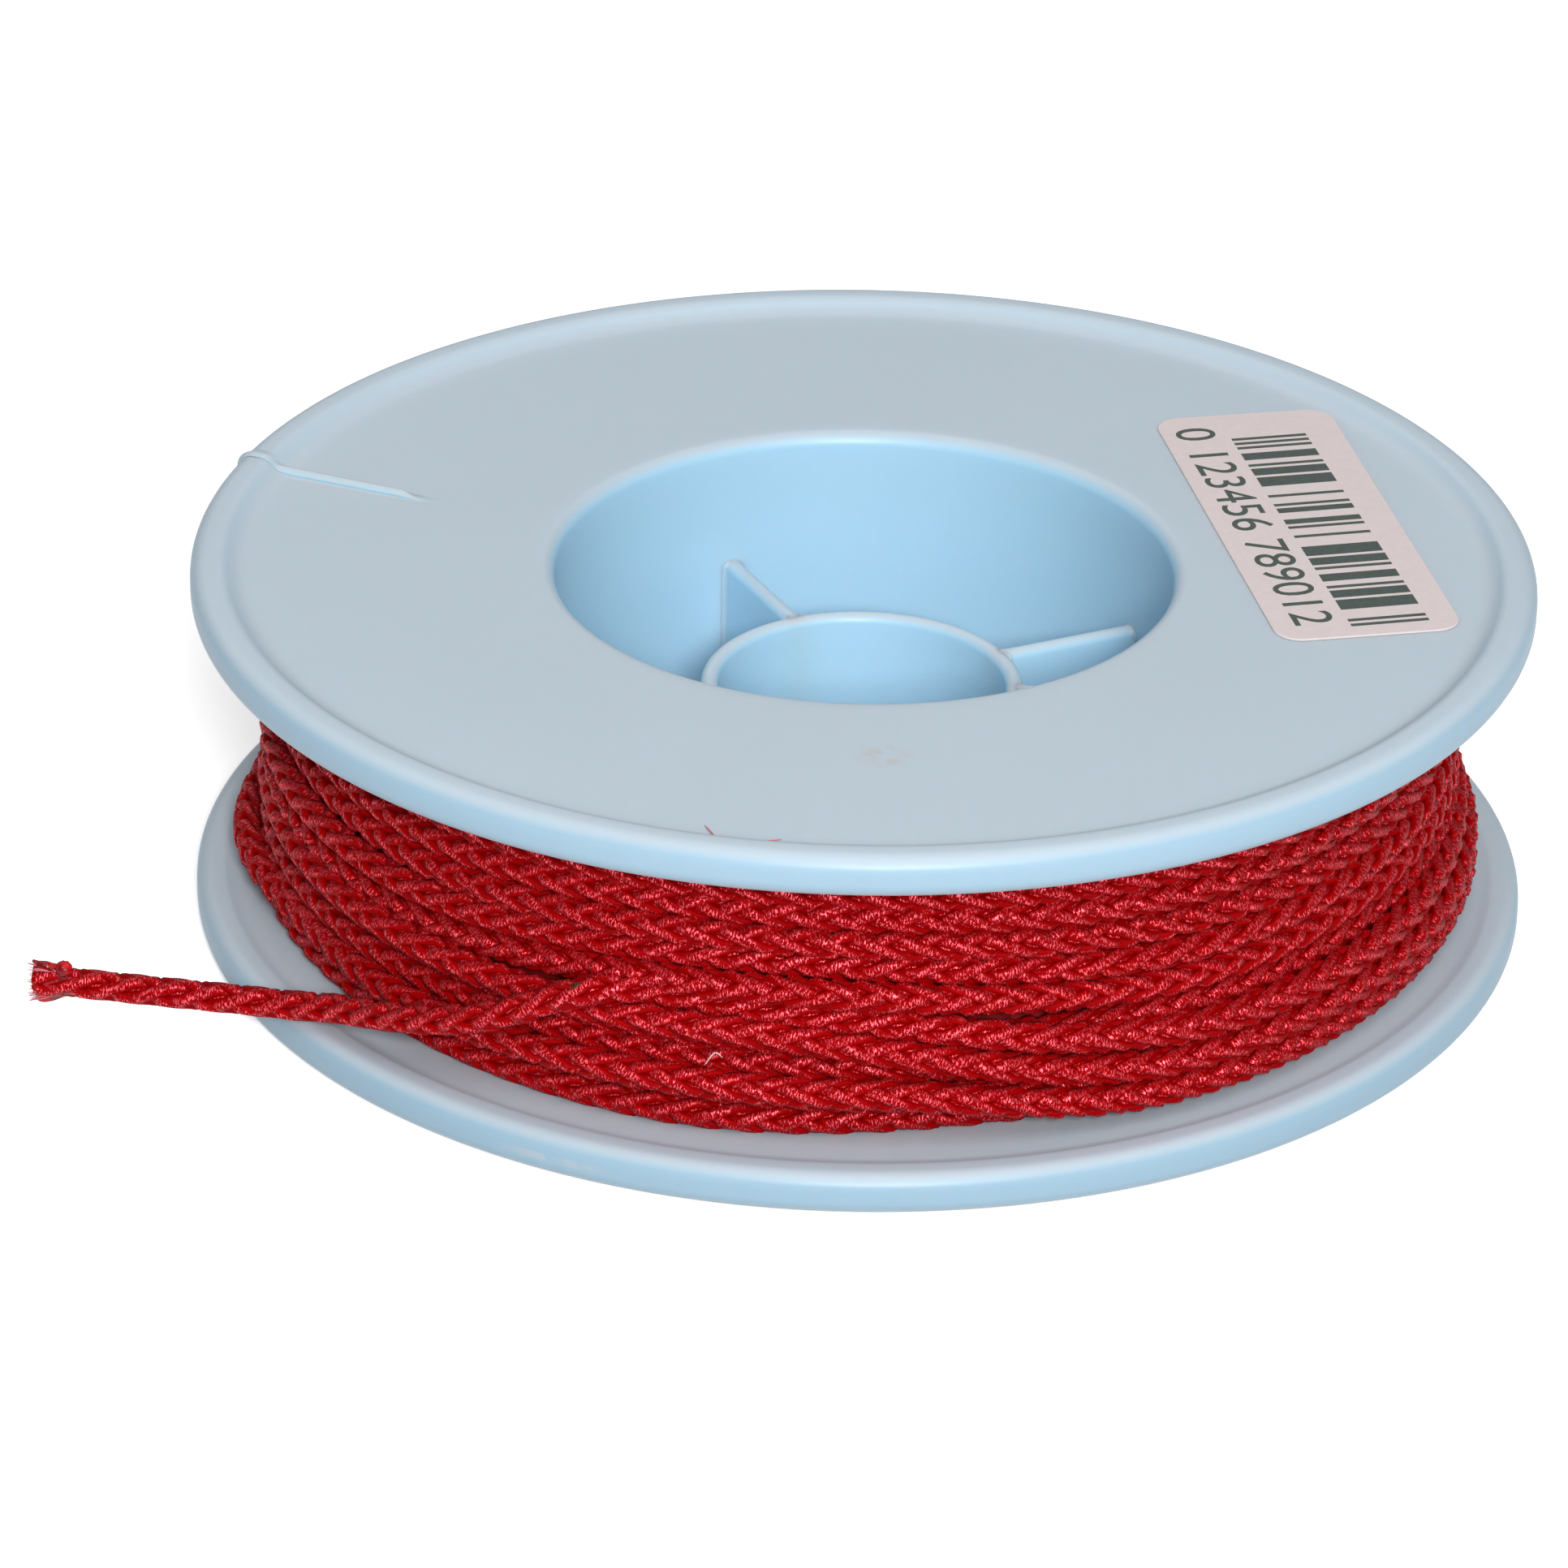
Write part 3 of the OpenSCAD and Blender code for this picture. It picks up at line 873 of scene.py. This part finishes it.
def flange_half():
    """Half section of the spool above its middle, from the well's wall over the rim to the drum's outside.

    The rim's two inner rounds run into the plate's faces through fillets that touch both.
    """
    mouth = (WELL_R + MOUTH_ROUND, PLATE_TOP - MOUTH_ROUND)
    inner, outer = FLANGE_R - RIM_W + RIM_ROUND, FLANGE_R - RIM_ROUND
    top, low = SPOOL_H - RIM_ROUND, SPOOL_H - RIM_H + RIM_ROUND
    dz = PLATE_TOP + UPPER_FILLET - top
    dr = math.sqrt((RIM_ROUND + UPPER_FILLET) ** 2 - dz**2)
    up_angle = math.degrees(math.atan2(dz, dr))
    ez = low - (PLATE_UNDER - LOWER_FILLET)
    er = math.sqrt((RIM_ROUND + LOWER_FILLET) ** 2 - ez**2)
    down_angle = math.degrees(math.atan2(ez, er))
    root_r = WELL_R + DRUM_WALL + ROOT_FILLET
    return np.concatenate(
        [
            line((WELL_R - WELL_DRAFT, MID_Z), (WELL_R, mouth[1]), 4),
            arc(mouth, MOUTH_ROUND, 180, 90, 9),
            line((mouth[0], PLATE_TOP), (inner - dr, PLATE_TOP), 20),
            arc((inner - dr, PLATE_TOP + UPPER_FILLET), UPPER_FILLET, -90, -up_angle, 5),
            arc((inner, top), RIM_ROUND, 180 - up_angle, 90, 7)[1:],
            arc((outer, top), RIM_ROUND, 90, 0, 9),
            arc((outer, low), RIM_ROUND, 0, -90, 9),
            arc((inner, low), RIM_ROUND, -90, -180 + down_angle, 4),
            arc((inner - er, PLATE_UNDER - LOWER_FILLET), LOWER_FILLET, down_angle, 90, 4)[1:],
            line((inner - er, PLATE_UNDER), (root_r, PLATE_UNDER), 14),
            arc((root_r, PLATE_UNDER - ROOT_FILLET), ROOT_FILLET, 90, 180, 5),
        ]
    )


def spool_body():
    """The half section and its mirror image, turned round the axis.

    Near the slit the columns run along it. In the slit, the faces fall back towards the middle of the
    flange, and the edge moves inwards. Beside it the upper face rises to a soft lip, a squared cosine
    across, which runs from the slit's inner end over the rim.
    """
    upper = flange_half()
    lower = upper[::-1] * [1, -1] + [0, SPOOL_H]
    section = np.concatenate([upper, lower])
    is_upper = np.arange(len(section)) < len(upper)
    near = np.array(NEAR_COLUMNS)
    even = np.arange(COLUMNS) * 360 / COLUMNS
    near_az = CATCH_AZ + np.degrees(near / COLUMN_R)
    even = even[(even < near_az.min() - NEAR_GAP) | (even > near_az.max() + NEAR_GAP)]
    t = np.sort(np.concatenate([even, near_az]))[:, None]
    y = np.radians(t - CATCH_AZ) * COLUMN_R
    r, z = section[None, :, 0], section[None, :, 1]

    end_r = FLANGE_R - CATCH_REACH
    slant = math.radians(CATCH_SLANT)
    c = end_r * math.cos(slant)
    reach = np.sqrt(c * c - end_r**2 + np.maximum(r, end_r) ** 2) - c
    lead = np.degrees(np.arctan2(reach * math.sin(slant), end_r + reach * math.cos(slant)))
    az = t + lead * (1 - ease(np.abs(t - CATCH_AZ), TURN_FULL, TURN_NONE))

    lip = hill(y, LIP_Y, LIP_HALF) * ease(reach, 0, LIP_START)
    is_face = is_upper & (z >= PLATE_TOP - 0.01) & (r < FLANGE_R - RIM_W / 2) & (reach > 0)
    z = np.where(is_face, np.maximum(z, PLATE_TOP + LIP_H * lip), z)
    on_rim = is_upper * ease(z, SPOOL_H - RIM_H / 2, SPOOL_H)
    on_rim = on_rim * ease(r, FLANGE_R - RIM_W, FLANGE_R - RIM_W / 2)
    z = z + LIP_OVER_RIM * lip * on_rim
    past_rim = LIP_PAST_RIM * lip * is_upper * ease(r, FLANGE_R - RIM_ROUND, FLANGE_R)
    r = r + past_rim * ease(z, PLATE_UNDER, PLATE_TOP)

    in_slit = (np.abs(y) < SLIT_W / 2 - 0.001) * is_upper * ease(reach, 0, SLIT_START)
    z = z + SLIT_FALL * (PLATE_TOP - PLATE_T / 2 - z) * in_slit
    r = r - SLIT_CUT * ease(r, FLANGE_R - RIM_ROUND - SLIT_CUT_INSIDE, FLANGE_R) * in_slit
    return closed_grid(polar(az + 0 * z, r + 0 * az, z))


def hub_ring():
    """Strip with round upper and lower edges, turned round the axis."""
    middle, half = HUB_BORE_R + HUB_WALL / 2, HUB_WALL / 2
    rise = HUB_H / 2 - half
    section = np.concatenate(
        [
            line((middle - half, HUB_MID - rise), (middle - half, HUB_MID + rise), 3),
            arc((middle, HUB_MID + rise), half, 180, 0, 13),
            line((middle + half, HUB_MID + rise), (middle + half, HUB_MID - rise), 3),
            arc((middle, HUB_MID - rise), half, 0, -180, 13),
        ]
    )
    az = np.linspace(0, 360, HUB_COLUMNS, endpoint=False)[:, None]
    return closed_grid(polar(az + 0 * section[None, :, 0], section[None, :, 0], section[None, :, 1]))


def rib(az):
    """Strip with round upper and lower edges, from inside the hub's wall to inside the drum's.

    Its half thickness is constant, and flares at both ends as a quarter circle, so it meets the walls in
    fillets.
    """
    start, end = HUB_BORE_R + HUB_WALL / 2, WELL_R
    near_hub, near_wall = HUB_BORE_R + HUB_WALL, WELL_R - WELL_DRAFT
    flare = RIB_FILLET * (1 - np.cos(np.linspace(0, np.pi / 2, 8)))
    x = np.concatenate([[start], near_hub + flare, near_wall - flare[::-1], [end]])
    gone = np.minimum(np.clip(x - near_hub, 0, RIB_FILLET), np.clip(near_wall - x, 0, RIB_FILLET))
    half = RIB_T / 2 + RIB_FILLET - np.sqrt(RIB_FILLET**2 - (RIB_FILLET - gone) ** 2)
    b = 2 * np.pi * np.arange(RIB_SIDES) / RIB_SIDES
    rise = (HUB_H - RIB_T) / 2 * np.sign(np.sin(b) + 1e-9)
    ring_y = half[:, None] * np.cos(b)
    ring_z = HUB_MID + rise + RIB_T / 2 * np.sin(b) + 0 * ring_y
    return tube(np.stack([*turned(x[:, None] + 0 * ring_y, ring_y, az), ring_z], -1))


ribs = [rib(RIB_AZ + 90 * k) for k in range(4)] + [rib(RIB_AZ - POCKET_ANGLE)]
spool = add_piece("moulded_spool", [spool_body(), hub_ring(), *ribs], PLASTIC)
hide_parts("spool")
spool.data.set_sharp_from_angle(angle=math.radians(CORNER_ANGLE))

# Loose fibres that lie on the reel, by the points they run through, and the tufts of short ones, by their
# middles
LOOSE_RED = [
    [(-8.0, -32.6, 20.5), (-7.7, -33.3, 20.53), (-7.3, -34.15, 20.5)],
    [(-5.45, -34.6, 20.62), (-4.75, -34.3, 20.53), (-4.0, -34.0, 20.5)],
]
GREEN_TUFTS = [(-14.55, -32.2, 10.75), (-16.4, -31.3, 9.75)]
PALE_FIBRE = [(-7.85, -34.25, 7.2), (-7.3, -34.35, 8.0), (-6.9, -34.4, 7.75)]
TUFT_FIBRES, TUFT_SPREAD = 9, (0.3, 0.12, 0.08)
LOOSE_R, PALE_R = 0.045, 0.04


def tufts():
    """Small tangles of short fibres."""
    rng = np.random.default_rng(SEED + 1)
    shells = []
    for place in GREEN_TUFTS:
        for _ in range(TUFT_FIBRES):
            knots = np.array(place) + rng.normal(0, 1, (3, 3)) * TUFT_SPREAD
            shells.append(fibre(knots, FIBRE_R))
    return shells


add_piece("loose_red_fibres", [fibre(knots, LOOSE_R) for knots in LOOSE_RED], PINK_FLUFF)
add_piece("green_fluff", tufts(), GREEN_FLUFF)
add_piece("pale_fibre", [fibre(PALE_FIBRE, PALE_R)], PALE_FLUFF)

# ---------------------------------------------------------------- the label

LABEL_L, LABEL_W, LABEL_T, LABEL_CORNER = 30.0, 10.5, 0.12, 1.5
LABEL_AZ, LABEL_TURN, LABEL_MARGIN = 14.5, -2.5, 0.8
LABEL_R = math.sqrt((FLANGE_R - RIM_W - LABEL_MARGIN) ** 2 - (LABEL_L / 2) ** 2) - LABEL_W / 2
LABEL_OUTLINES = [(0.996, 0.0), (1.0, 0.03), (1.0, LABEL_T - 0.03), (0.996, LABEL_T)]
PRINT_TURN = 1.1
INK_T = 0.012

# The printed bars and digits, by their lengths along and across the label and where they start on it
BAR_COUNT = 21
BARS_L, BARS_W, BARS_FROM, BARS_START = 25.4, 4.45, -1.15, -13.8
DIGITS = "0 123456 789012"
DIGITS_H, DIGITS_L, DIGITS_FROM, DIGITS_START = 2.35, 26.6, -4.2, 13.4


def on_label(x, y, z):
    """Points given across and along the label, in the reel's frame."""
    centre = polar(np.array(LABEL_AZ), LABEL_R, PLATE_TOP)
    return centre + np.stack(np.broadcast_arrays(*turned(x, y, LABEL_AZ + LABEL_TURN), z), -1)


def label_sheet():
    """Rounded rectangle in four outlines, one above the other, each end closed to its middle."""
    corners = []
    for k, (sx, sy) in enumerate([(1, 1), (-1, 1), (-1, -1), (1, -1)]):
        centre = (sx * (LABEL_W / 2 - LABEL_CORNER), sy * (LABEL_L / 2 - LABEL_CORNER))
        corners.append(arc(centre, LABEL_CORNER, 90 * k, 90 * k + 90, 9))
    x, y = np.concatenate(corners).T
    return tube(np.stack([on_label(x * share, y * share, z) for share, z in LABEL_OUTLINES]))


def blocks(x0, x1, y0, y1):
    """Thin printed blocks, one for each entry of the arrays."""
    shells = []
    for a, b, c, d in zip(x0, x1, y0, y1):
        x, y = turned(np.array([a, b, b, a]), np.array([c, c, d, d]), PRINT_TURN)
        shells.append(tube(np.stack([on_label(x, y, LABEL_T - INK_T), on_label(x, y, LABEL_T + INK_T)])))
    return shells


def bar_code():
    """Bars and spaces in turn, with thin pairs at both ends.

    Each is a few modules wide, by a formula of its number.
    """
    k = np.arange(2 * BAR_COUNT + 1)
    widths = 1 + (7 * k * k + 3 * k) % 13 % 4
    widths[:3] = widths[-3:] = 1
    edges = BARS_START + BARS_L * np.concatenate([[0], np.cumsum(widths)]) / widths.sum()
    one = np.ones(BAR_COUNT + 1)
    return blocks(BARS_FROM * one, (BARS_FROM + BARS_W) * one, edges[0:-1:2], edges[1::2])


def digits():
    """The row of plain digits as a mesh, read along the label with its feet towards the hub."""
    curve = bpy.data.curves.new("digits", "FONT")
    curve.body = DIGITS
    curve.extrude = 0.5
    curve.resolution_u = 4
    written = bpy.data.objects.new("digits", curve)
    bpy.context.scene.collection.objects.link(written)
    mesh = bpy.data.meshes.new_from_object(written.evaluated_get(bpy.context.evaluated_depsgraph_get()))
    bpy.data.objects.remove(written)
    co = np.zeros(len(mesh.vertices) * 3)
    mesh.vertices.foreach_get("co", co)
    co = co.reshape(-1, 3)
    low, high = co.min(0), co.max(0)
    share = (co - low) / (high - low)
    x, y = turned(DIGITS_FROM + share[:, 1] * DIGITS_H, DIGITS_START - share[:, 0] * DIGITS_L, PRINT_TURN)
    points = on_label(x, y, LABEL_T + INK_T * (2 * share[:, 2] - 1))
    mesh.vertices.foreach_set("co", (points * MM).ravel())
    mesh.update()
    return mesh


label = add_piece("paper_label", [label_sheet()], PAPER, smooth=False)
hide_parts("barcode_label")
add_piece("label_bars", bar_code(), INK, smooth=False)
place_mesh("label_digits", digits(), INK)

# ---------------------------------------------------------------- floor and light

FLOOR_W, FLOOR_Z = 6.0, -0.02
FLOOR_GREY, FLOOR_SEEN, FLOOR_GLOW = 0.6, 0.96, 0.4
SKY, SKY_STRENGTH = (0.93, 0.96, 1.0), 0.23

# Lamps: name, place in metres, width in metres, watts
LAMPS = [
    ("front lamp", (0.06, -0.6, 0.33), 0.12, 4.0),
    ("high lamp", (0.12, -0.4, 0.62), 0.4, 1.7),
    ("back lamp", (-0.1, 0.4, 0.5), 0.5, 1.0),
]


def add_floor():
    """Pale floor, seen as white by the camera and in gloss, that keeps the reel's shadow."""
    material, tree, shader = new_material("pale floor", Roughness=0.9, Specular_IOR_Level=0.1)
    rays = wire(tree, "ShaderNodeLightPath").outputs
    seen = maths(tree, "MAXIMUM", rays["Is Camera Ray"], rays["Is Glossy Ray"])
    colour = mix(tree, seen, (FLOOR_GREY,) * 3 + (1.0,), (FLOOR_SEEN,) * 3 + (1.0,))
    tree.links.new(colour, shader.inputs["Base Color"])
    shader.inputs["Emission Color"].default_value = (1, 1, 1, 1)
    tree.links.new(maths(tree, "MULTIPLY", seen, FLOOR_GLOW), shader.inputs["Emission Strength"])
    mesh = bpy.data.meshes.new("floor")
    half = FLOOR_W / 2
    corners = [(-half, -half, 0), (half, -half, 0), (half, half, 0), (-half, half, 0)]
    mesh.from_pydata(corners, [], [(0, 1, 2, 3)])
    mesh.materials.append(material)
    floor = bpy.data.objects.new("floor", mesh)
    floor.location.z = FLOOR_Z * MM
    bpy.context.scene.collection.objects.link(floor)


def add_lamp(name, place, size, watts):
    """Square soft lamp aimed at the middle of the reel."""
    data = bpy.data.lights.new(name, "AREA")
    data.energy, data.size = watts, size
    lamp = bpy.data.objects.new(name, data)
    lamp.location = place
    lamp.rotation_euler = (Vector((0, 0, MID_Z * MM)) - Vector(place)).to_track_quat("-Z", "Y").to_euler()
    bpy.context.scene.collection.objects.link(lamp)


def add_world():
    """Soft light from all round, and plain white where the camera sees past the floor."""
    world = bpy.data.worlds.new("studio")
    bpy.context.scene.world = world
    world.use_nodes = True
    tree = world.node_tree
    tree.nodes.clear()
    rays = wire(tree, "ShaderNodeLightPath").outputs
    soft = wire(tree, "ShaderNodeBackground", {"Color": (*SKY, 1.0), "Strength": SKY_STRENGTH}).outputs[0]
    white = wire(tree, "ShaderNodeBackground", {"Color": (1, 1, 1, 1), "Strength": 1.0}).outputs[0]
    shown = wire(tree, "ShaderNodeMixShader", {0: rays["Is Camera Ray"], 1: soft, 2: white}).outputs[0]
    wire(tree, "ShaderNodeOutputWorld", {"Surface": shown})


add_floor()
add_world()
for lamp_values in LAMPS:
    add_lamp(*lamp_values)
bpy.context.scene.view_settings.view_transform = "Standard"
